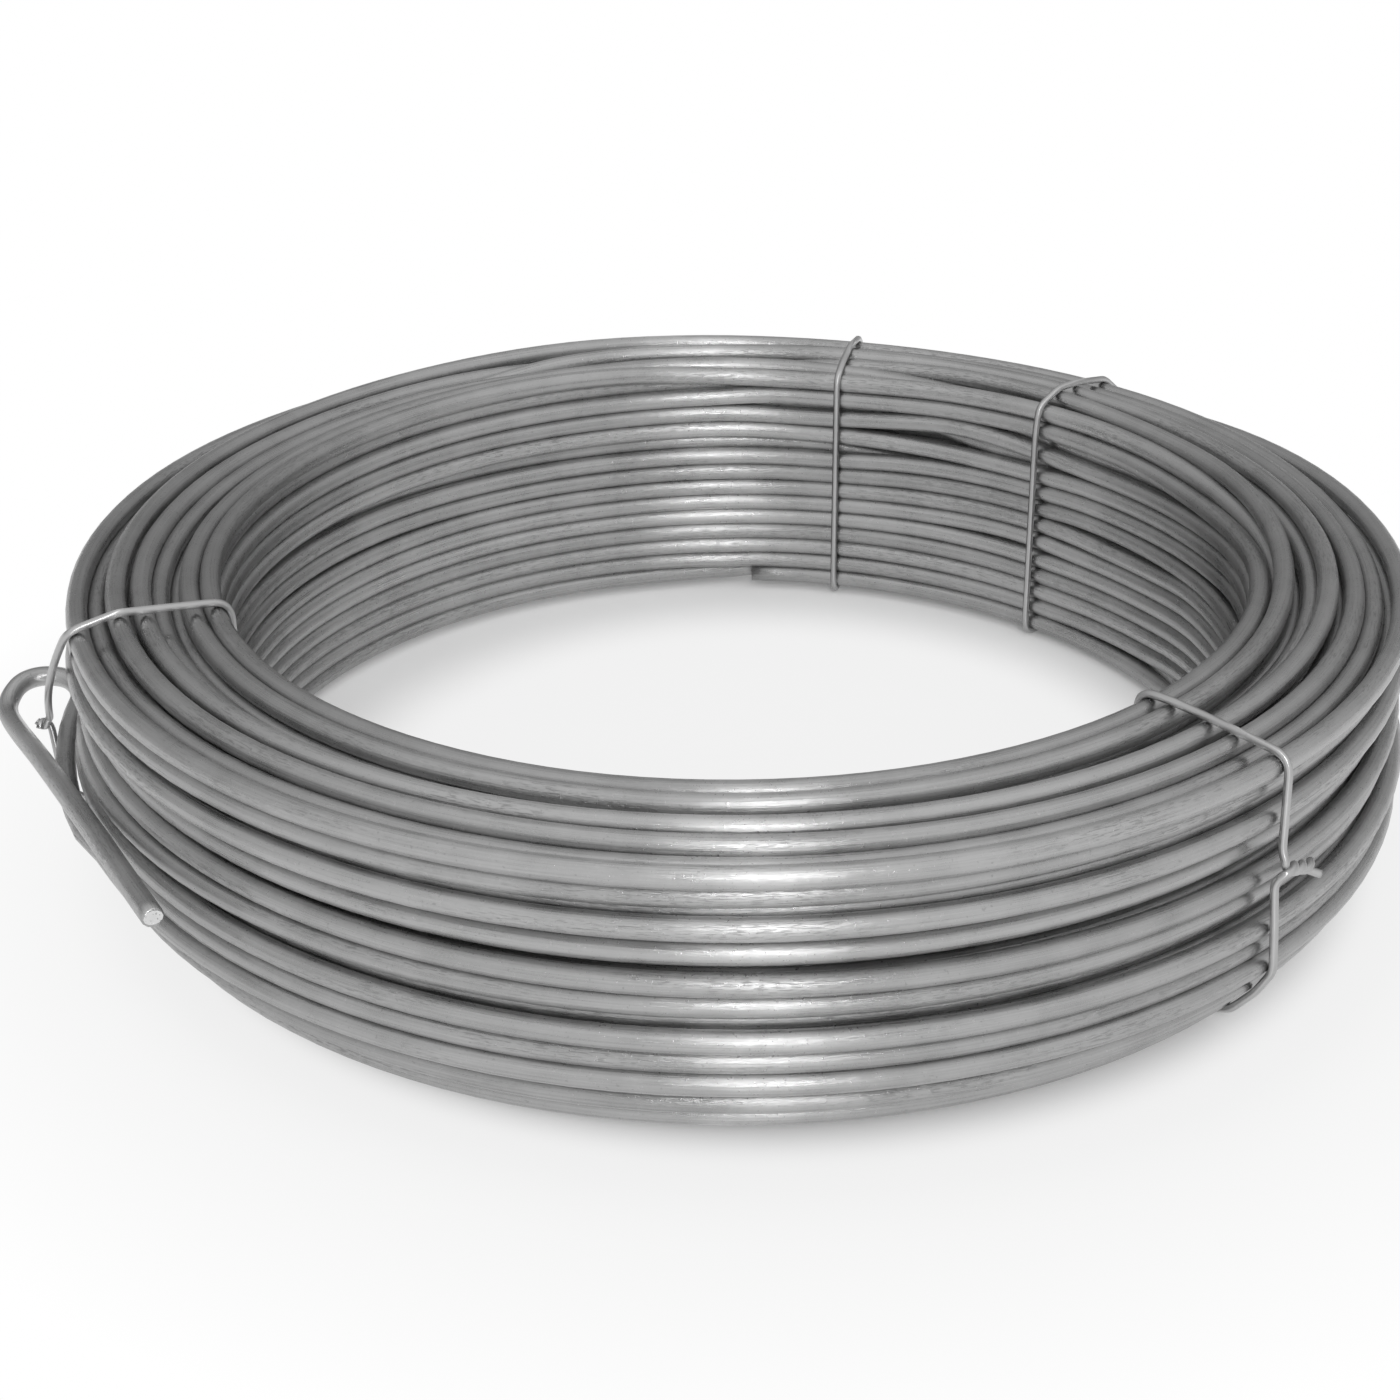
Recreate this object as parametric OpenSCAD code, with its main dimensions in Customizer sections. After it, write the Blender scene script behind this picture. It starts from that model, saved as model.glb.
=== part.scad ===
// Coil of galvanised steel wire, lying flat on its tie wires.
// Lengths in millimetres, +Z up, the bore's axis on Z and the floor at z = 0.
// Angles run counter-clockwise seen from above, from +X; the front is at 270.

/* [Wire] */
// Diameter of the drawn wire
wire_d = 4; // [3:0.1:5]
// How far neighbouring turns press into one another
bedding = 0.15; // [0.1:0.05:0.3]

/* [Coil] */
// Bore, over the crests of the innermost turns
bore_d = 198; // [160:1:260]
// Turns side by side in the innermost layer
rows = 14; // [10:1:18]
// Layers of turns, counted outwards from the bore
layers = 9; // [5:1:12]
// Rounding of the section's upper outer edge
top_round = 8; // [5:0.5:14]
// Rounding of the section's lower outer edge
bottom_round = 15; // [8:0.5:18]

/* [Free end] */
// Angle at which the wire leaves the coil and is hooked back
hook_angle = 180.5; // [175:0.5:186]
// Row of the outermost layer above which the hook lies
hook_row = 4; // [3:1:6]
// Radius of the hook, on the wire's centre line
hook_bend = 8.5; // [6:0.5:10]
// Length of the straight piece from the hook to the cut end
end_len = 106; // [60:1:140]
// Climb of the straight piece towards its cut end, in degrees
end_climb = 5.5; // [0:0.5:8]
// Room between the straight piece and the coil where they pass closest
end_gap = 0.8; // [0.5:0.1:3]
// Radius of the lead-out between the coil and the hook
lead_r = 60; // [45:1:80]
// Turn of the lead-out, from the hook back into the coil
lead_sweep = 40; // [36:1:55]

/* [Tie wires] */
// Diameter of the soft tie wire
tie_d = 1.5; // [1:0.1:2]
// Room between a tie wire and the turns it holds
tie_gap = 0.2; // [0.1:0.05:0.5]
// Bend radius allowance at each corner of a tie
tie_bend = 3; // [2:0.5:4]
// Angle of the tie that holds the hooked end
left_angle = 199.5; // [195:0.5:202]
// Angle of the tie at the front right
front_angle = 312.5; // [290:0.5:330]
// Angle of the tie at the back
back_angle = 76; // [65:0.5:100]
// Angle of the tie at the back right
right_angle = 47; // [30:0.5:60]
// Height of the front and back twists above the floor
twist_z = 34; // [26:0.5:38]
// Length of each pair of twisted tie ends
twist_len = 10; // [6:0.5:16]
// Turns in each pair of twisted tie ends
twist_turns = 2.5; // [1:0.5:4]

/* [Hidden] */
$fn = 48;
tie_sides = 8;
lay = wire_d - bedding;
layer_pitch = lay * sqrt(3) / 2;
in_r = bore_d / 2;
out_r = in_r + wire_d + (layers - 1) * layer_pitch;
base_z = tie_d + tie_gap;
top_z = base_z + wire_d + (rows - 1) * lay;
round_slack = 0.2;
lay_r = out_r + wire_d / 2;
hook_z = row_z(hook_row + 0.5);
close_r = lay_r + end_gap;
end_seat = 0.1;
end_draw = 0.08;
end_turn = acos((close_r - hook_bend) / (lay_r + hook_bend));
tie_off = tie_d / 2 + tie_gap;
cut = 1 - tan(22.5);
twist_r = tie_d * 0.54;
twist_out = out_r + tie_gap + twist_r + tie_d / 2;
hook_tie_r = lay_r + wire_d / 2 + tie_off;
hook_tie_shift = -(left_angle - hook_angle - 9) * PI / 180 * lay_r;

function layer_r(j) = in_r + wire_d / 2 + j * layer_pitch;
function row_z(q) = base_z + wire_d / 2 + q * lay;

// A turn is laid where it stays inside the rounded outer edges.
function under_top(r, z) =
  let (a = r - out_r + top_round, b = z - top_z + top_round)
  a <= 0 || b <= 0 || norm([a, b]) <= top_round - wire_d / 2 + round_slack;
function over_bottom(r, z) =
  let (a = r - out_r + bottom_round, b = base_z + bottom_round - z)
  a <= 0 || b <= 0 || norm([a, b]) <= bottom_round - wire_d / 2 + round_slack;
function laid(j, q) =
  j >= 0 && j < layers && q >= 0 && q <= rows - 1
  && under_top(layer_r(j), row_z(q)) && over_bottom(layer_r(j), row_z(q));
function shift(j) = (j % 2) / 2;
function layer_rows(j) = [for (i = [0 : rows - 1]) if (laid(j, i + shift(j))) i + shift(j)];
function buried(j, q) =
  laid(j, q - 1) && laid(j, q + 1) && laid(j - 1, q - 0.5) && laid(j - 1, q + 0.5)
  && laid(j + 1, q - 0.5) && laid(j + 1, q + 0.5);

// The wound section: every turn that shows, round a filled middle.
module wound_section() {
  for (j = [0 : layers - 1])
    for (q = layer_rows(j))
      if (!buried(j, q))
        translate([layer_r(j), row_z(q)]) circle(d = wire_d);
  for (j = [0 : layers - 2]) {
    near = layer_rows(j);
    far = layer_rows(j + 1);
    polygon([
      [layer_r(j), row_z(min(near))],
      [layer_r(j + 1), row_z(min(far))],
      [layer_r(j + 1), row_z(max(far))],
      [layer_r(j), row_z(max(near))],
    ]);
  }
}

// A stretch of the wire bent to a radius, starting on +X and turning to +Y.
module bent_wire(radius, sweep) {
  rotate_extrude(angle = sweep) translate([radius, 0]) circle(d = wire_d);
}

// The outer end: out of the coil, round the hook and straight back to its cut.
module free_end() {
  translate([0, 0, hook_z]) rotate([0, 0, hook_angle]) translate([lay_r, 0, 0]) rotate([end_climb, 0, 0]) {
    translate([-lead_r, 0, 0]) bent_wire(lead_r, lead_sweep);
    translate([hook_bend, 0, 0]) {
      rotate([0, 0, 180]) bent_wire(hook_bend, 180 + end_turn);
      rotate([0, 0, end_turn]) translate([hook_bend, -end_seat, 0])
        rotate([-90, 0, 0]) cylinder(d = wire_d - end_draw, h = end_len + end_seat);
    }
  }
}

module wire_coil() {
  color([0.62, 0.63, 0.64]) union() {
    rotate_extrude() wound_section();
    free_end();
  }
}

// Points of a path with each inner corner rounded off.
function toward(a, b, d) = a + (b - a) * min(d / norm(b - a), 0.48);
function corner(a, b, c, d) =
  let (p = toward(b, a, d), s = toward(b, c, d))
  [for (t = [0 : 0.25 : 1]) p * (1 - t) * (1 - t) + b * 2 * t * (1 - t) + s * t * t];
function rounded(path, d) = concat(
  [path[0]],
  [for (i = [1 : len(path) - 2]) each corner(path[i - 1], path[i], path[i + 1], d)],
  [path[len(path) - 1]]
);

function unit(v) = v / norm(v);
function heading(path, i) = unit(path[min(i + 1, len(path) - 1)] - path[max(i - 1, 0)]);
function square_to(v, t) = unit(v - (v * t) * t);
function sides_of(path) = [
  for (i = 0, v = square_to([0.3, 0.5, 0.8], heading(path, 0)); i < len(path);
       i = i + 1, v = square_to(v, heading(path, min(i, len(path) - 1)))) v
];

// A round wire along a path.
module round_wire(path, d) {
  n = tie_sides;
  last = len(path) - 1;
  side = sides_of(path);
  points = [
    for (i = [0 : last])
      let (a = side[i], b = cross(heading(path, i), side[i]))
      for (k = [0 : n - 1])
        path[i] + (a * cos(360 * k / n) + b * sin(360 * k / n)) * d / 2
  ];
  faces = concat(
    [[for (k = [0 : n - 1]) k]],
    [for (i = [0 : last - 1]) for (k = [0 : n - 1]) each [
      [i * n + k, (i + 1) * n + k, i * n + (k + 1) % n],
      [i * n + (k + 1) % n, (i + 1) * n + k, (i + 1) * n + (k + 1) % n],
    ]],
    [[for (k = [n - 1 : -1 : 0]) last * n + k]]
  );
  polyhedron(points, faces);
}

// One strand of a twist, from its root to its cut end.
function strand(root, way, phase) = [
  for (s = [0 : 1 / 24 : 1])
    let (a = phase + 360 * twist_turns * s)
    root + [twist_r * cos(a), way * (tie_d + twist_len * s), twist_r * sin(a)]
];
function flipped(path) = [for (i = [len(path) - 1 : -1 : 0]) path[i]];

// A tie's run round the section, from above its twist to below it.
function tie_run(above, below) = concat(above, [
  [out_r + tie_off, 0, top_z - top_round * cut + tie_off * tan(22.5)],
  [out_r - top_round * cut + tie_off * tan(22.5), 0, top_z + tie_off],
  [in_r - tie_off, 0, top_z + tie_off],
  [in_r - tie_off, 0, base_z - tie_off],
  [out_r - bottom_round * cut + tie_off * tan(22.5), 0, base_z - tie_off],
  [out_r + tie_off, 0, base_z + bottom_round * cut - tie_off * tan(22.5)],
], below);

function tie_path(root, way, above, below) = concat(
  flipped(strand(root, way, 90)),
  rounded(concat([root + [0, 0, twist_r]], tie_run(above, below), [root - [0, 0, twist_r]]), tie_bend),
  strand(root, way, 270)
);

module plain_tie(angle) {
  root = [twist_out, 0, twist_z];
  rotate([0, 0, angle]) round_wire(tie_path(root, 1, [], []), tie_d);
}

module tie_left() {
  root = [hook_tie_r, hook_tie_shift, hook_z - wire_d * 1.6];
  above = [[hook_tie_r, hook_tie_shift, hook_z + wire_d]];
  color([0.7, 0.71, 0.72]) rotate([0, 0, left_angle])
    round_wire(tie_path(root, 1, above, []), tie_d);
}

module tie_front() {
  color([0.7, 0.71, 0.72]) plain_tie(front_angle);
}

module tie_back() {
  color([0.7, 0.71, 0.72]) plain_tie(back_angle);
}

module tie_right() {
  color([0.7, 0.71, 0.72]) plain_tie(right_angle);
}

wire_coil();
tie_left();
tie_front();
tie_back();
tie_right();
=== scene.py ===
import math

import bpy
import numpy as np
from mathutils import Matrix, Vector


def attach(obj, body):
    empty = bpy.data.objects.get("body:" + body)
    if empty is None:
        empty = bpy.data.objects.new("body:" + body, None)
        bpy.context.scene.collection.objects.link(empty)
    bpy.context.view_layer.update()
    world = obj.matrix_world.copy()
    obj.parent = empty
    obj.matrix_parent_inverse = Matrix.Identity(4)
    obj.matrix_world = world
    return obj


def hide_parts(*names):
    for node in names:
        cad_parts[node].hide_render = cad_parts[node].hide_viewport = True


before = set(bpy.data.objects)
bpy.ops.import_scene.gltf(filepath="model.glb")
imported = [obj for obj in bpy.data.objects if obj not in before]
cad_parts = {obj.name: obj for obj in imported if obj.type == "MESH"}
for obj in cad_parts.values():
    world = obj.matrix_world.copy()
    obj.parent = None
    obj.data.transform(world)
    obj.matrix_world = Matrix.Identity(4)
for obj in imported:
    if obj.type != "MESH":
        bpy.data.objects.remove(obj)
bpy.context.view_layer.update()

# Sizes in millimetres. The wire, the bore and the layers are as in the part's source. The rounded edges,
# the hook and the straight end follow the photograph a little closer than the turned solid does.
WIRE_D = 4.0
BEDDING = 0.15
BORE_D = 198.0
ROWS = 14
LAYERS = 9
TOP_ROUND = 2.0
BOTTOM_ROUND = 18.0
ROUND_SLACK = 0.2
HOOK_ANGLE = 180.5
HOOK_ROW = 4
HOOK_BEND = 7.4
END_LEN = 109.0
END_CLIMB = 5.5
END_GAP = 0.4
END_CURL = 1.3
# How far the hook stands above its level: (degrees round the bend, mm), then (mm along the end, mm).
HOOK_LIFT = ((0, 0.0), (60, 2.2), (105, 2.6), (140, 2.0), (180, -1.0), (206, -2.4))
END_LIFT = ((0, -2.4), (12, -1.9), (30, 0.0), (55, 1.5), (80, 2.0), (109, 0.6))
# The wire's last bit, which the cutters pinched, and its face's width and height as shares of the wire.
SNIP = 0.6
CUT_FACE = (0.85, 0.65)
TIE_D = 1.5
TIE_GAP = 0.2

LAY = WIRE_D - BEDDING
LAYER_PITCH = LAY * math.sqrt(3) / 2
IN_R = BORE_D / 2
OUT_R = IN_R + WIRE_D + (LAYERS - 1) * LAYER_PITCH
BASE_Z = TIE_D + TIE_GAP
TOP_Z = BASE_Z + WIRE_D + (ROWS - 1) * LAY
LAY_R = OUT_R + WIRE_D / 2
HOOK_Z = BASE_Z + WIRE_D / 2 + (HOOK_ROW + 0.5) * LAY
MM_IN_METRE = 1000

# The winding: stations round one turn, the station where the wire starts, and the places left empty.
SEED = 29
STATIONS = 120
INNER_END = 31
EMPTY_INSIDE = 13
EMPTY_AT_BORE = 1
# Turns left out of the outer layer and of the one under it, and how unevenly they are spread.
THINNED = (3, 1)
THINNED_SHIFT = 0.9
# Where a turn steps over to the next place, from the first turn to the last, as shares of the way round.
STEP_OVER = (0.46, 0.06)
STEP_SHIFT = 0.02
STEP_LENGTH = (0.22, 0.4)
# Where the climbing turn and the last one start to leave their places, and over how much of the way round.
CLIMB_OVER = (0.06, 0.34)
LEAD_OUT = (0.82, 0.18)
# How far the turns wander out and up in millimetres, and how much less they do so inside the section.
WANDER = np.array([0.8, 1.6])
QUICK_WANDER = 0.3
CALM_INSIDE = 0.25
CALM_DEPTH = 9
CALM_FADE = 5
BORE_CALM = 5.0

# Settling: steps in all, steps at the end in which the turns only part, and steps between searches.
SETTLE_STEPS = 560
LAST_STEPS = 60
SEARCH_STEPS = 20
CONTACT = WIRE_D - 0.1
NEAR = 1.6 * WIRE_D
BORE_SLACK = 0.2
# How firmly a turn keeps to its aim, how much of that it gives up, and when, as shares of the steps.
HOLD = 0.02
GIVE = 0.7
GIVE_TIME = (0.5, 0.3)
TUCK = np.array([-0.25, 0.25])
DRAW_IN = np.array([0.02, 0.017])
STIFF = 0.8
STIFF_AT_LAST = 0.3
PUSH_APART = 0.34
HELD_STATIONS = 8

# How finely the wires are made.
WIRE_SIDES = 12
TIE_SIDES = 10
BEND_POINTS = 40
END_POINTS = 60
TWIST_POINTS = 48
TIP_POINTS = 4
ROUND_DOTS = 24
LOOP_STEP = 0.4
TIE_STEP = 0.35
EASE_ROUNDS = 12

# A tie's room to the turns, its strands' distance from the middle of their twist, and the gap that its loop
# leaves at a plain knot and at the hook's.
TIE_ROOM = 0.05
TWIST_R = TIE_D * 0.53
KNOT_GAP = 2.6
HOOK_KNOT_GAP = 0.8


# The wound turns

def laid(r, z):
    """True where a turn stays inside the section's rounded outer edges."""
    a, b = r - OUT_R + TOP_ROUND, z - TOP_Z + TOP_ROUND
    if a > 0 and b > 0 and math.hypot(a, b) > TOP_ROUND - WIRE_D / 2 + ROUND_SLACK:
        return False
    a, b = r - OUT_R + BOTTOM_ROUND, BASE_Z + BOTTOM_ROUND - z
    return not (a > 0 and b > 0 and math.hypot(a, b) > BOTTOM_ROUND - WIRE_D / 2 + ROUND_SLACK)


def layer_places(j):
    """The places in a layer, in the order in which they are wound."""
    r = IN_R + WIRE_D / 2 + j * LAYER_PITCH
    column = []
    for i in range(ROWS):
        q = i + (j % 2) / 2
        z = BASE_Z + WIRE_D / 2 + q * LAY
        if q <= ROWS - 1 and laid(r, z):
            column.append((r, z))
    if j % 2:
        column.reverse()
    return column


def turn_places(rng):
    """Where each turn of the wire starts, in winding order, with a few places left empty."""
    places = []
    for j in range(LAYERS):
        column = layer_places(j)
        if j >= LAYERS - len(THINNED):
            # Missing turns are spread unevenly and keep clear of the layer's ends.
            missing = np.linspace(0, len(column) - 1, THINNED[LAYERS - 1 - j] + 2)[1:-1]
            missing = missing + rng.uniform(-THINNED_SHIFT, THINNED_SHIFT, len(missing))
            missing = set(np.round(missing).astype(int).tolist())
            column = [spot for i, spot in enumerate(column) if i not in missing]
        if j == LAYERS - 1:
            # The outer layer fills below the hook first, then comes down from the top to it.
            below = [spot for spot in column if spot[1] < HOOK_Z - LAY / 2]
            column = below + column[len(below):][::-1]
        places += column
    places = np.array(places)
    inside = (places[:, 0] > IN_R + WIRE_D) & (places[:, 0] < OUT_R - 2 * WIRE_D)
    inside &= (places[:, 1] > BASE_Z + WIRE_D) & (places[:, 1] < TOP_Z - 2 * WIRE_D)
    bore = places[:, 0] < IN_R + WIRE_D
    bore &= (places[:, 1] > BASE_Z + 3 * WIRE_D) & (places[:, 1] < TOP_Z - 3 * WIRE_D)
    keep = np.ones(len(places), bool)
    keep[rng.choice(np.nonzero(inside)[0], EMPTY_INSIDE, replace=False)] = False
    keep[rng.choice(np.nonzero(bore)[0], EMPTY_AT_BORE, replace=False)] = False
    return places[keep]


def eased(path, rounds):
    """A path with its corners eased, its ends kept."""
    for _ in range(rounds):
        path = np.concatenate([path[:1], (path[:-2] + 2 * path[1:-1] + path[2:]) / 4, path[-1:]])
    return path


def smooth_step(x):
    x = np.clip(x, 0, 1)
    return x * x * (3 - 2 * x)


def drift(rng, count, reach):
    """Smooth wander along the wire, of unit size."""
    margin = 4 * reach
    raw = rng.normal(size=(count + 2 * margin, 2))
    x = np.arange(-margin, margin + 1) / reach
    kernel = np.exp(-x * x / 2)
    kernel /= math.sqrt((kernel ** 2).sum())
    ways = [np.convolve(raw[:, c], kernel, "same")[margin:margin + count] for c in (0, 1)]
    return np.stack(ways, 1)


def aimed_turns(rng):
    """Where each turn would lie if nothing pushed it: its place, its step to the next one, its wander."""
    start = turn_places(rng)
    start = np.concatenate([start[:1], start])
    count = len(start)
    end = np.concatenate([start[1:], [[LAY_R, HOOK_Z]]])
    t = np.arange(STATIONS) / STATIONS
    when = np.linspace(*STEP_OVER, count) + rng.uniform(-STEP_SHIFT, STEP_SHIFT, count)
    length = rng.uniform(*STEP_LENGTH, count)
    share = smooth_step((t[None] - when[:, None]) / length[:, None] + 0.5)[..., None]
    share = (share - share[:, :1]) / (share[:, -1:] - share[:, :1])
    aim = start[:, None] * (1 - share) + end[:, None] * share
    depth = np.minimum(OUT_R - aim[..., 0], TOP_Z - aim[..., 1])
    depth = np.minimum(depth, aim[..., 0] - IN_R + BORE_CALM)
    loose = CALM_INSIDE + (1 - CALM_INSIDE) * smooth_step((CALM_DEPTH - depth) / CALM_FADE)
    wander = drift(rng, count * STATIONS, STATIONS // 3)
    wander = wander + QUICK_WANDER * drift(rng, count * STATIONS, STATIONS // 8)
    aim += wander.reshape(aim.shape) * loose[..., None] * WANDER

    # One turn of the outer layer climbs over it to the top, at the back.
    climb = int(np.argmax(np.linalg.norm(end[:-1] - start[:-1], axis=1)))
    over = smooth_step((t - CLIMB_OVER[0]) / CLIMB_OVER[1])[:, None]
    aim[climb] = start[climb] * (1 - over) + end[climb] * over
    aim[climb, :, 0] += WIRE_D * np.sin(math.pi * over[:, 0])

    # The last turn leaves the outer layer and comes out to the hook.
    leave = smooth_step((t - LEAD_OUT[0]) / LEAD_OUT[1])[:, None]
    aim[-1] = start[-1] * (1 - leave) + end[-1] * leave
    return aim


def tucked_in(place):
    """Draws turns back towards the section's rounded lower outer edge."""
    past = np.stack([place[..., 0] - OUT_R + BOTTOM_ROUND, BASE_Z + BOTTOM_ROUND - place[..., 1]], -1)
    past = np.maximum(past, 0)
    reach = np.linalg.norm(past, axis=-1, keepdims=True) + 1e-6
    excess = np.maximum(reach - BOTTOM_ROUND + WIRE_D / 2, 0) * (past[..., 1:] > 0)
    return place + excess / reach * past * TUCK


def wind_turns():
    """Lays the turns and lets them settle against each other: (turn, station, (r, z))."""
    aim = aimed_turns(np.random.default_rng(SEED))
    count = len(aim)
    place = aim.copy()
    live = np.ones((count, STATIONS))
    live[0, :INNER_END] = 0
    lowest = np.array([IN_R + WIRE_D / 2 - BORE_SLACK, BASE_Z + WIRE_D / 2])
    for step in range(SETTLE_STEPS):
        if step % SEARCH_STEPS == 0:
            reach = ((place[:, None] - place[None]) ** 2).sum(-1).min(-1)
            one, two = np.nonzero(np.triu(reach < NEAR ** 2, 1))
            sides = np.zeros((count, len(one)))
            sides[one, np.arange(len(one))] = 1
            sides[two, np.arange(len(one))] = -1
            touch = live[one] * live[two]
        slack = 1 - GIVE * smooth_step((step / SETTLE_STEPS - GIVE_TIME[0]) / GIVE_TIME[1])
        last = step > SETTLE_STEPS - LAST_STEPS
        if not last:
            place += (aim - place) * HOLD * slack - DRAW_IN
        # The wire is stiff, so each station follows its neighbours along the wire.
        flat = place.reshape(-1, 2)
        even = flat.copy()
        even[2:-2] = (flat[:-4] + 4 * flat[1:-3] + 6 * flat[2:-2] + 4 * flat[3:-1] + flat[4:]) / 16
        place = (flat + (even - flat) * (STIFF_AT_LAST if last else STIFF)).reshape(place.shape)
        # Turns that press into each other part.
        gap = place[one] - place[two]
        dist = np.sqrt((gap ** 2).sum(-1)) + 1e-6
        push = np.maximum(CONTACT - dist, 0) / dist * touch * PUSH_APART
        place += (sides @ (gap * push[..., None]).reshape(len(one), -1)).reshape(place.shape)
        place = np.maximum(tucked_in(place), lowest)
        place[-1, -HELD_STATIONS:] = aim[-1, -HELD_STATIONS:]
    return place


def coil_points(place):
    """The wound wire's centre line as points in metres, turn after turn."""
    angle = math.radians(HOOK_ANGLE) - math.tau * np.arange(STATIONS) / STATIONS
    angle = np.tile(angle, len(place))
    r, z = place.reshape(-1, 2).T
    return np.stack([r * np.cos(angle), r * np.sin(angle), z], 1) / MM_IN_METRE


def end_points():
    """Hook and straight end, from where the wire leaves the coil to its cut, in metres."""
    turn = math.acos((LAY_R + END_GAP - HOOK_BEND) / (LAY_R + HOOK_BEND))
    points = []
    for a in np.linspace(0, math.pi + turn, BEND_POINTS):
        lift = np.interp(math.degrees(a), *zip(*HOOK_LIFT))
        points.append((HOOK_BEND - HOOK_BEND * math.cos(a), -HOOK_BEND * math.sin(a), lift))
    x, y, _ = points[-1]
    for s in np.linspace(0, END_LEN, END_POINTS)[1:]:
        curl = END_CURL * max(2 * s / END_LEN - 1, 0) ** 2
        across = s * math.sin(turn) + curl * math.cos(turn)
        along = s * math.cos(turn) - curl * math.sin(turn)
        points.append((x - across, y + along, np.interp(s, *zip(*END_LIFT))))
    climb = math.radians(END_CLIMB)
    at = math.radians(HOOK_ANGLE)
    out = []
    for x, y, lift in points:
        lx, ly, lz = LAY_R + x, y * math.cos(climb), HOOK_Z + y * math.sin(climb) + lift
        out.append((lx * math.cos(at) - ly * math.sin(at), lx * math.sin(at) + ly * math.cos(at), lz))
    return eased(np.array(out), EASE_ROUNDS) / MM_IN_METRE


# Wire meshes

def wire_sides(path, up):
    """Two directions square to the path at each of its points, carried along without twist."""
    ahead = np.gradient(path, axis=0)
    ahead /= np.linalg.norm(ahead, axis=1)[:, None]
    if up is not None:
        side = np.cross(ahead, up)
        side /= np.linalg.norm(side, axis=1)[:, None]
        return side, np.cross(side, ahead)
    side = np.empty_like(path)
    v = np.array([0.31, 0.52, 0.79])
    for i, a in enumerate(ahead):
        v = v - a * (v @ a)
        v /= np.linalg.norm(v)
        side[i] = v
    return side, np.cross(side, ahead)


def run_along(path):
    """How far along the path each of its points lies."""
    return np.concatenate([[0], np.cumsum(np.linalg.norm(np.diff(path, axis=0), axis=1))])


def wire_piece(name, path, radius, sides, up=None, face=(1.0, 1.0)):
    """A round wire along a path as one closed mesh, with a UV map of length and turn in metres."""
    a, b = wire_sides(path, up)
    n = len(path)
    turn = math.tau * (np.arange(sides) / sides) - math.pi / 2
    wide, tall = np.ones((2, n))
    wide[-1], tall[-1] = face
    ring = (a * wide[:, None])[:, None] * np.cos(turn)[None, :, None]
    ring += (b * tall[:, None])[:, None] * np.sin(turn)[None, :, None]
    verts = (path[:, None] + ring * radius).reshape(-1, 3)
    i = np.arange(n - 1)[:, None] * sides
    k = np.arange(sides)[None]
    k2 = (k + 1) % sides
    quads = np.stack([i + k, i + k2, i + sides + k2, i + sides + k], -1).reshape(-1, 4)
    loops = np.concatenate([quads.ravel(), np.arange(sides)[::-1], (n - 1) * sides + np.arange(sides)])
    starts = np.concatenate([np.arange(len(quads)) * 4, [len(quads) * 4, len(quads) * 4 + sides]])
    mesh = bpy.data.meshes.new(name)
    mesh.vertices.add(len(verts))
    mesh.vertices.foreach_set("co", verts.astype(np.float32).ravel())
    mesh.loops.add(len(loops))
    mesh.loops.foreach_set("vertex_index", loops.astype(np.int32))
    mesh.polygons.add(len(starts))
    mesh.polygons.foreach_set("loop_start", starts.astype(np.int32))

    length = run_along(path)
    u = np.repeat(np.stack([length[:-1], length[:-1], length[1:], length[1:]], 1), sides, axis=0)
    v = np.stack([k[0], k[0] + 1, k[0] + 1, k[0]], 1) / sides * math.tau * radius
    uv = np.stack([u, np.tile(v, (n - 1, 1))], -1).reshape(-1, 2)
    around = np.stack([np.cos(turn), np.sin(turn)], 1) * radius
    uv = np.concatenate([uv, around[::-1], around + np.array([[length[-1], 0]])])
    layer = mesh.uv_layers.new(name="wire")
    layer.data.foreach_set("uv", uv.astype(np.float32).ravel())
    mesh.update(calc_edges=True)

    # Smooth all round, flat on the two ends.
    smooth = np.ones(len(starts), bool)
    smooth[-2:] = False
    mesh.polygons.foreach_set("use_smooth", smooth)
    mesh.validate()
    piece = bpy.data.objects.new(name, mesh)
    bpy.context.collection.objects.link(piece)
    return piece


# Tie wires

def tight_loop(dots):
    """The tight loop round a set of (r, z) dots, counter-clockwise."""
    dots = dots[np.lexsort((dots[:, 1], dots[:, 0]))]

    def half(points):
        out = []
        for p in points:
            while len(out) > 1:
                a, b = out[-1] - out[-2], p - out[-2]
                if a[0] * b[1] - a[1] * b[0] > 0:
                    break
                out.pop()
            out.append(p)
        return out[:-1]

    return np.array(half(dots) + half(dots[::-1]))


def resample(path, step):
    """The same path with its points evenly spaced, about a step apart."""
    length = run_along(path)
    s = np.linspace(0, length[-1], max(int(length[-1] / step), 8))
    return np.stack([np.interp(s, length, path[:, c]) for c in range(path.shape[1])], 1)


def section_at(place, degrees):
    """The turns' centres cut at an angle."""
    at = ((math.radians(HOOK_ANGLE - degrees)) % math.tau) / math.tau * STATIONS
    share = at - int(at)
    flat = place.reshape(-1, 2)
    before = np.arange(len(place)) * STATIONS + int(at) % STATIONS
    after = np.minimum(before + 1, len(flat) - 1)
    return flat[before] * (1 - share) + flat[after] * share


def twisted(root, along, length, turns, phase, tip):
    """One of two strands twisted together, from the knot outwards."""
    along = np.array(along) / np.linalg.norm(along)
    across = np.cross(along, (0, 0, 1))
    above = np.cross(across, along)
    s = np.linspace(0, 1, TWIST_POINTS)[:, None]
    angle = phase + math.tau * turns * s
    path = root + along * length * s + TWIST_R * (across * np.cos(angle) + above * np.sin(angle))
    end = path[-1] + (path[-1] - path[-3]) / np.linalg.norm(path[-1] - path[-3]) * tip
    return np.concatenate([path, np.linspace(path[-1], end, TIP_POINTS)[1:]])


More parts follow.
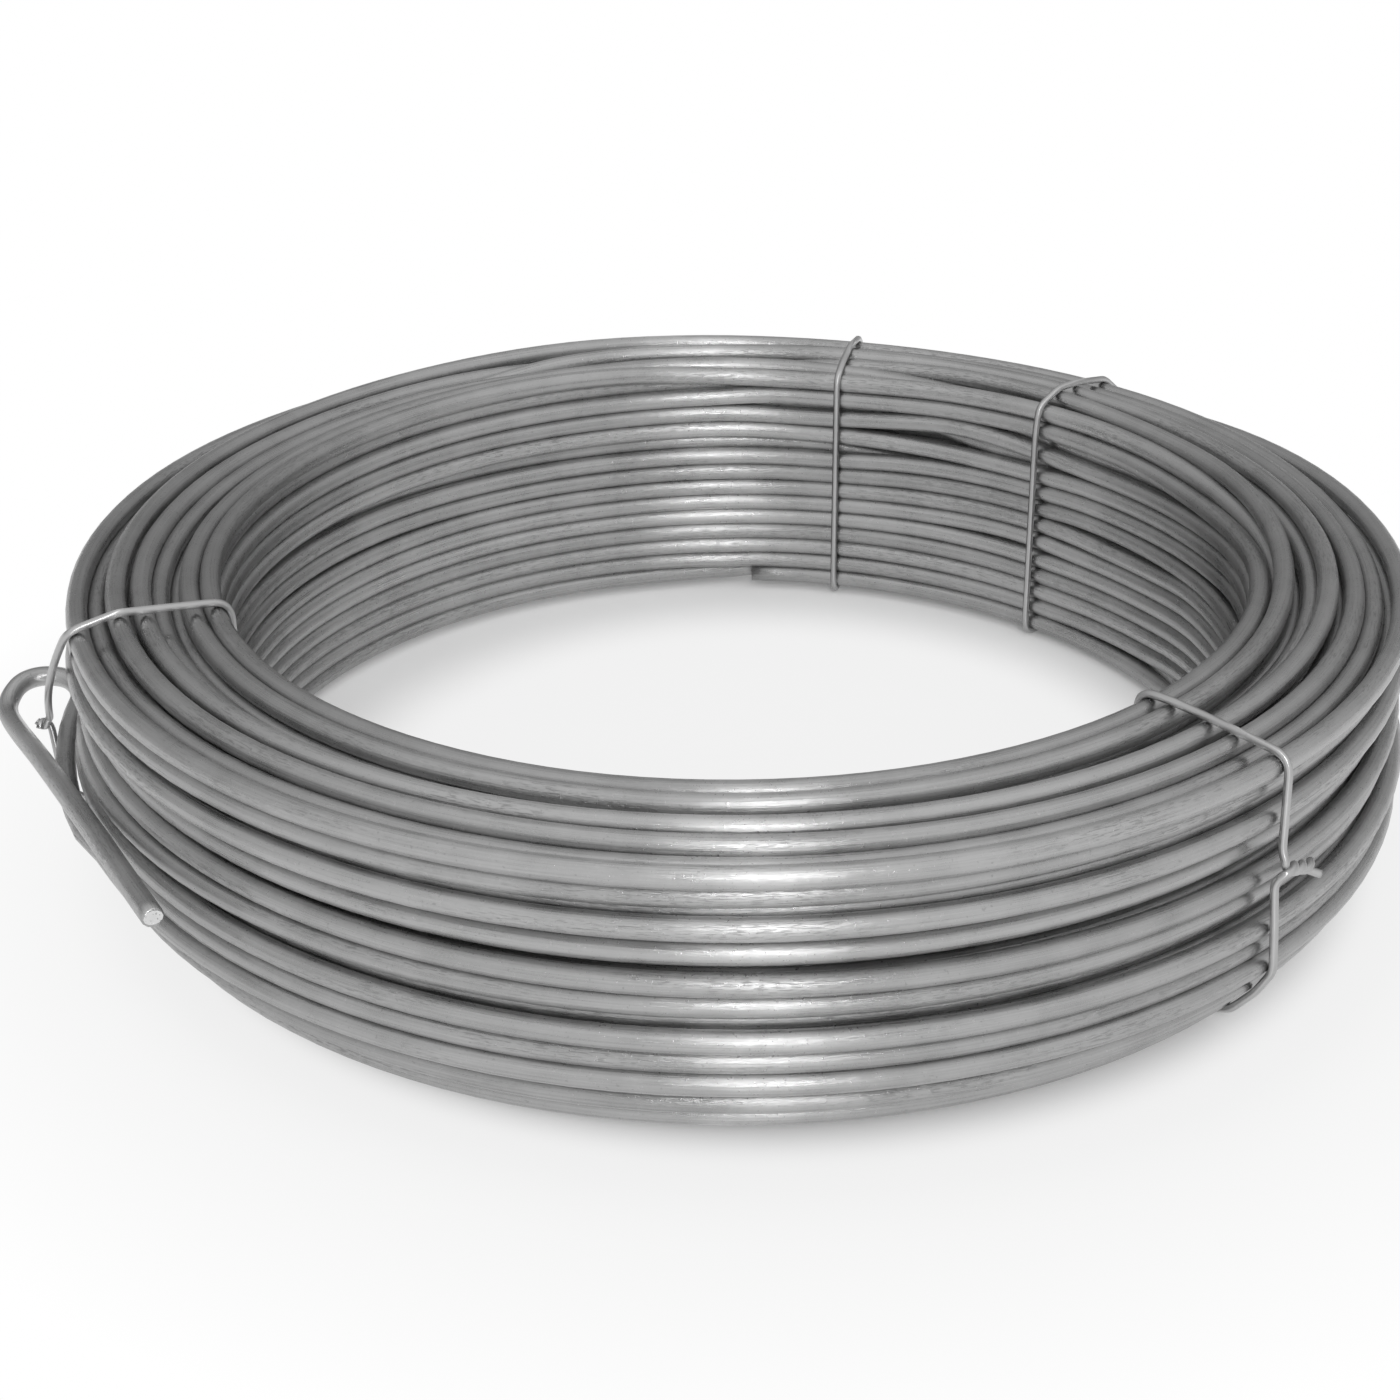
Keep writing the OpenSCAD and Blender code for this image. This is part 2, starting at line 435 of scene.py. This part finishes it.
def tie_path(place, degrees, knot, shifts, along, length, turns, tips, foot=None):
    """A tie's centre line: round the section at an angle, its two ends twisted together at the knot.

    The knot is (distance out from the turns, height). The shifts are how far the upper and the lower
    strand stand aside at the knot, and the run along the tie over which they come back. The foot is a
    point below the knot, measured from it, that the loop also goes round."""
    ring = np.linspace(0, math.tau, ROUND_DOTS, endpoint=False)
    ring = (WIRE_D / 2 + TIE_D / 2 + TIE_ROOM) * np.stack([np.cos(ring), np.sin(ring)], 1)
    dots = (section_at(place, degrees)[:, None] + ring[None]).reshape(-1, 2)
    out, height = knot
    knot = np.array([dots[:, 0].max() + out, height])
    if foot is not None:
        dots = np.concatenate([dots, [knot, knot + foot]])
    loop = tight_loop(dots)
    loop = resample(np.concatenate([loop, loop[:1]]), LOOP_STEP)[:-1]
    outer = loop[:, 0] > (IN_R + OUT_R) / 2
    first = int(np.argmin(np.where(outer, np.abs(loop[:, 1] - height), np.inf)))
    loop = np.roll(loop, -first, axis=0)
    open_points = int((KNOT_GAP if foot is None else HOOK_KNOT_GAP) / LOOP_STEP)
    loop = loop[open_points:-open_points]
    run = np.arange(len(loop)) * LOOP_STEP
    (up, up_run), (down, down_run) = shifts
    aside = up * np.clip(1 - run / up_run, 0, 1) + down * np.clip(1 - (run[-1] - run) / down_run, 0, 1)
    turn = aside / knot[0]
    loop = np.stack([loop[:, 0] * np.cos(turn), loop[:, 0] * np.sin(turn), loop[:, 1]], 1)
    middle = (up + down) / 2 / knot[0]
    root = np.array([knot[0] * math.cos(middle), knot[0] * math.sin(middle), height])
    upper = twisted(root, along, length, turns, math.pi / 2, tips[0])[::-1]
    lower = twisted(root, along, length, turns, -math.pi / 2, tips[1])
    path = eased(resample(np.concatenate([upper, loop, lower]), TIE_STEP), EASE_ROUNDS)
    turn = math.radians(degrees)
    x, y, z = path.T
    path = np.stack([x * math.cos(turn) - y * math.sin(turn), x * math.sin(turn) + y * math.cos(turn), z], 1)
    return path / MM_IN_METRE


# Materials

# Patterns on the wire, as features per metre along and round it, and in the zinc itself, per metre.
DIE_LINES = (22, 2600)
TURN_SHADES = (1.7, 0)
DASHES = (420, 4200)
PATCHES = (14, 130)
CLOUDS = 90.0
SPECKLE = 1500.0
# The noise levels between which a mark fades in.
SPECK_LEVELS = (0.66, 0.74)
PIP_LEVELS = (0.36, 0.28)
DASH_LEVELS = (0.56, 0.64)
PATCH_LEVELS = (0.5, 0.62)
# What each mark adds to the tone, to the roughness and to the relief.
LINE_TONE = 0.55
TURN_TONE = 0.8
SCUFF_TONE = -0.35
LINE_MATT = 0.5
SCUFF_MATT = 0.4
PIP_RISE = 0.7
DENT_DEPTH = 0.6
# The tones that get a finish's dark and light grey, and the mattness that gets its least and most roughness.
TONE_SPAN = (0.15, 0.75)
MATT_SPAN = (0.2, 0.8)
# How much smoother the pips in the zinc are than the zinc round them.
GLINT = 0.2
# Each finish: darkest and lightest grey, roughness, how strong its lines, scuffs and specks are, and the
# depth of its relief in metres.
FINISHES = {
    "zinc_wire": (0.34, 0.50, (0.25, 0.35), 1.8, 1.2, 0.35, 0.00003),
    "tie_wire": (0.42, 0.58, (0.28, 0.38), 0.6, 0.3, 0.2, 0.00002),
    "cut_steel": (0.6, 0.95, (0.22, 0.4), 0.0, 0.0, 1.0, 0.0004),
}


def group(name, inputs, outputs):
    tree = bpy.data.node_groups.new(name, "ShaderNodeTree")
    for label in inputs:
        socket = tree.interface.new_socket(name=label, in_out="INPUT", socket_type="NodeSocketFloat")
        socket.default_value = 1.0
    for label in outputs:
        tree.interface.new_socket(name=label, in_out="OUTPUT", socket_type="NodeSocketFloat")
    return tree, tree.nodes.new("NodeGroupInput"), tree.nodes.new("NodeGroupOutput")


def add(tree, kind, **values):
    node = tree.nodes.new(kind)
    for key, value in values.items():
        setattr(node, key, value)
    return node


def noise(tree, vector, scale, detail, rough, dimensions):
    node = add(tree, "ShaderNodeTexNoise", noise_dimensions=dimensions)
    node.inputs["Scale"].default_value = scale
    node.inputs["Detail"].default_value = detail
    node.inputs["Roughness"].default_value = rough
    tree.links.new(vector, node.inputs["Vector"])
    return node.outputs["Fac"]


def wire_noise(tree, wire, pattern, detail, rough=0.5):
    """Noise on the wire's surface, stretched along and round it."""
    node = add(tree, "ShaderNodeMapping", vector_type="POINT")
    node.inputs["Scale"].default_value = (*pattern, 1.0)
    tree.links.new(wire, node.inputs["Vector"])
    return noise(tree, node.outputs[0], 1.0, detail, rough, "2D")


def carried(tree, value, span, to, **values):
    """Carries one span of values over to another."""
    node = add(tree, "ShaderNodeMapRange", **values)
    for label, number in zip(("From Min", "From Max", "To Min", "To Max"), (*span, *to)):
        node.inputs[label].default_value = number
    tree.links.new(value, node.inputs["Value"])
    return node.outputs[0]


def fade_in(tree, value, levels):
    """Goes from 0 at the first level to 1 at the second."""
    return carried(tree, value, levels, (0.0, 1.0), interpolation_type="SMOOTHSTEP")


def sums(tree, operation, *values):
    node = add(tree, "ShaderNodeMath", operation=operation)
    for socket, value in zip(node.inputs, values):
        if isinstance(value, (int, float)):
            socket.default_value = value
        else:
            tree.links.new(value, socket)
    return node.outputs[0]


def drawn_zinc_group():
    """Die lines along the wire, cloudy zinc, scuffed patches, dark specks and pips, as masks and a height."""
    marks = ("Lines", "Scuffs", "Specks")
    tree, given, put = group("drawn zinc", marks, ("Tone", "Matt", "Glints", "Height"))
    solid = add(tree, "ShaderNodeTexCoord").outputs["Object"]
    wire = add(tree, "ShaderNodeUVMap", uv_map="wire").outputs[0]
    lines = sums(tree, "SUBTRACT", wire_noise(tree, wire, DIE_LINES, 4.0, 0.65), 0.5)
    lines = sums(tree, "MULTIPLY", lines, given.outputs["Lines"])
    turns = sums(tree, "SUBTRACT", wire_noise(tree, wire, TURN_SHADES, 1.0), 0.5)
    cloud = noise(tree, solid, CLOUDS, 5.0, 0.6, "3D")
    speck = noise(tree, solid, SPECKLE, 2.0, 0.5, "3D")
    specks = sums(tree, "MULTIPLY", fade_in(tree, speck, SPECK_LEVELS), given.outputs["Specks"])
    pips = sums(tree, "MULTIPLY", fade_in(tree, speck, PIP_LEVELS), given.outputs["Specks"])
    dashes = fade_in(tree, wire_noise(tree, wire, DASHES, 2.0), DASH_LEVELS)
    patches = fade_in(tree, wire_noise(tree, wire, PATCHES, 2.0), PATCH_LEVELS)
    scuffs = sums(tree, "MULTIPLY", sums(tree, "MULTIPLY", dashes, patches), given.outputs["Scuffs"])

    tone = sums(tree, "MULTIPLY_ADD", lines, LINE_TONE, cloud)
    tone = sums(tree, "MULTIPLY_ADD", turns, TURN_TONE, tone)
    tone = sums(tree, "SUBTRACT", sums(tree, "MULTIPLY_ADD", scuffs, SCUFF_TONE, tone), specks)
    matt = sums(tree, "MULTIPLY_ADD", lines, LINE_MATT, cloud)
    matt = sums(tree, "MULTIPLY_ADD", scuffs, SCUFF_MATT, matt)
    dents = sums(tree, "MULTIPLY", sums(tree, "ADD", specks, scuffs), DENT_DEPTH)
    height = sums(tree, "SUBTRACT", sums(tree, "MULTIPLY_ADD", pips, PIP_RISE, lines), dents)
    for label, value in (("Tone", tone), ("Matt", matt), ("Glints", pips), ("Height", height)):
        tree.links.new(value, put.inputs[label])
    return tree


def zinc_material(name, effect, dark, light, rough, lines, scuffs, specks, depth):
    material = bpy.data.materials.new(name)
    material.use_nodes = True
    tree = material.node_tree
    shader = tree.nodes["Principled BSDF"]
    shader.inputs["Metallic"].default_value = 1.0
    # Glints are narrow along the drawn wire and wide round it.
    shader.inputs["Anisotropic"].default_value = 1.0
    shader.inputs["Anisotropic Rotation"].default_value = 0.25
    use = add(tree, "ShaderNodeGroup", node_tree=effect)
    use.inputs["Lines"].default_value = lines
    use.inputs["Scuffs"].default_value = scuffs
    use.inputs["Specks"].default_value = specks
    ramp = add(tree, "ShaderNodeValToRGB")
    for stop, position, grey in zip(ramp.color_ramp.elements, TONE_SPAN, (dark, light)):
        stop.position = position
        stop.color = (grey, grey, grey, 1)
    tree.links.new(use.outputs["Tone"], ramp.inputs["Fac"])
    tree.links.new(ramp.outputs["Color"], shader.inputs["Base Color"])
    matt = carried(tree, use.outputs["Matt"], MATT_SPAN, rough)
    smooth = sums(tree, "MULTIPLY_ADD", use.outputs["Glints"], -GLINT, matt)
    tree.links.new(smooth, shader.inputs["Roughness"])
    bump = add(tree, "ShaderNodeBump")
    bump.inputs["Strength"].default_value = 1.0
    bump.inputs["Distance"].default_value = depth
    tree.links.new(use.outputs["Height"], bump.inputs["Height"])
    tree.links.new(bump.outputs[0], shader.inputs["Normal"])
    return material


# Stage

# The photograph's camera, from the fit of the coil's rims: the eye's distance in units of the coil, its rise
# and its turns in degrees, and the focal length in the photograph's pixels.
COIL_UNIT = 0.10016
EYE_DISTANCE = 5.108
EYE_RISE = 28.53
YAW = 0.78
PITCH = 1.81
ROLL = 0.08
FOCAL_PIXELS = 2499
PHOTO_PIXELS = 1400
SENSOR_WIDTH = 36.0
AIM_LIFT = 0.0002
# Distance from the coil's axis in metres, and how much of the floor there is plain, without shadow.
FLOOR_PLAIN = ((0.075, 0.9), (0.1, 0.12), (0.109, 0.18), (0.122, 0.9), (0.142, 1.0))
FLOOR_REACH = 0.4
FLOOR_SIZE = 80.0
FLOOR_GREY = 0.95
FLOOR_ROUGH = 0.7
FLOOR_SHINE = 0.2
# The middle from which the floor's distances are measured, off the axis towards the right front, so that the
# kept shadow and the painted shade reach further there.
SHADE_MIDDLE = (0.006, -0.005, 0.0)
# Distances between which the floor goes from pale grey, a painted shade round the coil and in its bore, to
# white, and these two levels.
PAINTED_SHADE_TO_WHITE_DISTANCES = (0.128, 0.19)
PAINTED_SHADE_TO_WHITE_LEVELS = (0.9, 1.0)
# The way that the room's light leans, and its levels away from it and towards it.
LIGHT_LEAN = (0.1, -0.6, 0.8)
LEAN_SPAN = (-0.3, 0.8)
ROOM_LEVELS = (0.33, 1.0)
# The key lamp: place, aim, size and power.
KEY = ((0.2, -2.4, 1.62), (0, 0, 0.03), (0.15, 0.9), 15.0)


def make_camera():
    """The photograph's camera."""
    rise = math.radians(EYE_RISE)
    rows = Matrix(((1, 0, 0), (0, math.sin(rise), math.cos(rise)), (0, math.cos(rise), -math.sin(rise))))
    for degrees, axis in ((YAW, "Y"), (PITCH, "X"), (ROLL, "Z")):
        rows = Matrix.Rotation(math.radians(degrees), 3, axis) @ rows
    right, up, ahead = rows
    data = bpy.data.cameras.new("photo_camera")
    data.sensor_fit = "HORIZONTAL"
    data.sensor_width = SENSOR_WIDTH
    data.lens = SENSOR_WIDTH * FOCAL_PIXELS / PHOTO_PIXELS
    data.clip_start = 0.01
    camera = bpy.data.objects.new("photo_camera", data)
    eye = Vector((0, -math.cos(rise), math.sin(rise))) * EYE_DISTANCE * COIL_UNIT
    eye += Vector((0, 0, BASE_Z / MM_IN_METRE + AIM_LIFT))
    turn = Matrix((right, up, -ahead)).transposed().to_4x4()
    camera.matrix_world = Matrix.Translation(eye) @ turn
    bpy.context.collection.objects.link(camera)
    bpy.context.scene.camera = camera


def area_light(name, at, aim, size, power):
    data = bpy.data.lights.new(name, "AREA")
    data.shape = "RECTANGLE"
    data.size, data.size_y = size
    data.energy = power
    light = bpy.data.objects.new(name, data)
    light.location = at
    light.rotation_euler = (Vector(aim) - Vector(at)).to_track_quat("-Z", "Y").to_euler()
    bpy.context.collection.objects.link(light)


def paint_floor(floor):
    """Painted shade of pale grey under the coil and in its bore, white further off, with the coil's rendered
    shadow kept.
    """
    paint = bpy.data.materials.new("floor_with_painted_shade")
    paint.use_nodes = True
    tree = paint.node_tree
    link = tree.links.new
    shader = tree.nodes["Principled BSDF"]
    shader.inputs["Base Color"].default_value = (FLOOR_GREY, FLOOR_GREY, FLOOR_GREY, 1)
    shader.inputs["Roughness"].default_value = FLOOR_ROUGH
    shader.inputs["Specular IOR Level"].default_value = FLOOR_SHINE

    where = add(tree, "ShaderNodeTexCoord")
    about = add(tree, "ShaderNodeVectorMath", operation="SUBTRACT")
    about.inputs[1].default_value = SHADE_MIDDLE
    link(where.outputs["Object"], about.inputs[0])
    away = add(tree, "ShaderNodeVectorMath", operation="LENGTH")
    link(about.outputs["Vector"], away.inputs[0])
    away = away.outputs["Value"]
    plain = add(tree, "ShaderNodeValToRGB")
    plain.color_ramp.interpolation = "EASE"
    for spot, (distance, share) in enumerate(FLOOR_PLAIN):
        stop = plain.color_ramp.elements[spot] if spot < 2 else plain.color_ramp.elements.new(1.0)
        stop.position = distance / FLOOR_REACH
        stop.color = (share, share, share, 1)
    link(carried(tree, away, (0.0, FLOOR_REACH), (0.0, 1.0)), plain.inputs["Fac"])

    rays = add(tree, "ShaderNodeLightPath")
    seen = sums(tree, "MAXIMUM", rays.outputs["Is Camera Ray"], rays.outputs["Is Glossy Ray"])
    seen = sums(tree, "MAXIMUM", seen, rays.outputs["Is Transmission Ray"])
    # This emission is pale grey near the coil, a painted shade, and white further off.
    white = add(tree, "ShaderNodeEmission")
    link(carried(tree, away, PAINTED_SHADE_TO_WHITE_DISTANCES, PAINTED_SHADE_TO_WHITE_LEVELS), white.inputs["Strength"])
    mix = add(tree, "ShaderNodeMixShader")
    link(sums(tree, "MULTIPLY", plain.outputs["Color"], seen), mix.inputs["Fac"])
    link(shader.outputs[0], mix.inputs[1])
    link(white.outputs[0], mix.inputs[2])
    link(mix.outputs[0], tree.nodes["Material Output"].inputs["Surface"])
    floor.data.materials.append(paint)


def light_room():
    """Soft light from all round, fullest from above and the front, less from the back."""
    world = bpy.data.worlds.new("studio")
    bpy.context.scene.world = world
    world.use_nodes = True
    tree = world.node_tree
    sky = tree.nodes["Background"]
    sky.inputs["Color"].default_value = (1, 1, 1, 1)
    where = add(tree, "ShaderNodeTexCoord")
    lean = add(tree, "ShaderNodeVectorMath", operation="DOT_PRODUCT")
    lean.inputs[1].default_value = LIGHT_LEAN
    tree.links.new(where.outputs["Generated"], lean.inputs[0])
    level = carried(tree, lean.outputs["Value"], LEAN_SPAN, ROOM_LEVELS)
    tree.links.new(level, sky.inputs["Strength"])


def make_stage():
    bpy.ops.object.select_all(action="DESELECT")
    bpy.ops.mesh.primitive_plane_add(size=FLOOR_SIZE, location=(0, 0, 0))
    floor = bpy.context.object
    floor.name = "floor"
    paint_floor(floor)
    light_room()
    area_light("key", *KEY)


# Putting it together

make_camera()
place = wind_turns()
wound = coil_points(place)
half = (len(place) // 2) * STATIONS
effect = drawn_zinc_group()
zinc, tie_zinc, cut = [zinc_material(name, effect, *finish) for name, finish in FINISHES.items()]

# The wire is cut in two in the middle, to keep each mesh small, and its last ring is the pinched cut.
up = np.array([0.0, 0.0, 1.0])
wire_r = WIRE_D / 2 / MM_IN_METRE
inner = wire_piece("inner_turns", wound[INNER_END:half + 1], wire_r, WIRE_SIDES, up)
tail = np.concatenate([wound[half:], end_points()])
snip = tail[-1] + (tail[-1] - tail[-2]) / np.linalg.norm(tail[-1] - tail[-2]) * SNIP / MM_IN_METRE
outer = wire_piece("outer_turns", np.concatenate([tail, [snip]]), wire_r, WIRE_SIDES, up, CUT_FACE)
for piece in (inner, outer):
    piece.data.materials.append(zinc)
    piece.data.materials.append(cut)
    piece.data.polygons[-1].material_index = 1
    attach(piece, "root")
    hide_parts("wire_coil")

# Each tie: angle, knot, strand shifts, the twist's direction, length and turns, and its ends past the twist.
# The left one also goes round a foot below its knot.
plain = ((0.4, 30.0), (-0.6, 60.0))
sideways = (-0.05, 1.0, -0.35)
outwards = (1.0, -0.1, -0.25)
ties = {
    "tie_front": (315.0, (0.8, 36.5), ((-2.5, 110.0), (-4.1, 42.0)), sideways, 8.5, 1.5, (2.4, 0.4)),
    "tie_back": (76.0, (0.8, 34.0), plain, sideways, 8.5, 1.5, (2.4, 0.4)),
    "tie_right": (47.0, (0.8, 34.0), plain, sideways, 8.5, 1.5, (2.4, 0.4)),
    "tie_left": (
        199.5, (3.2, 19.0), ((-39.4, 36.0), (-39.4, 75.0)), outwards, 2.0, 0.75, (0.8, 0.4), (-2.6, -12.0)
    ),
}
for node, shape in ties.items():
    piece = wire_piece(node + "_wire", tie_path(place, *shape), TIE_D / 2 / MM_IN_METRE, TIE_SIDES)
    piece.data.materials.append(tie_zinc)
    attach(piece, "root")
    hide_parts(node)

make_stage()
bpy.context.scene.view_settings.view_transform = "Standard"
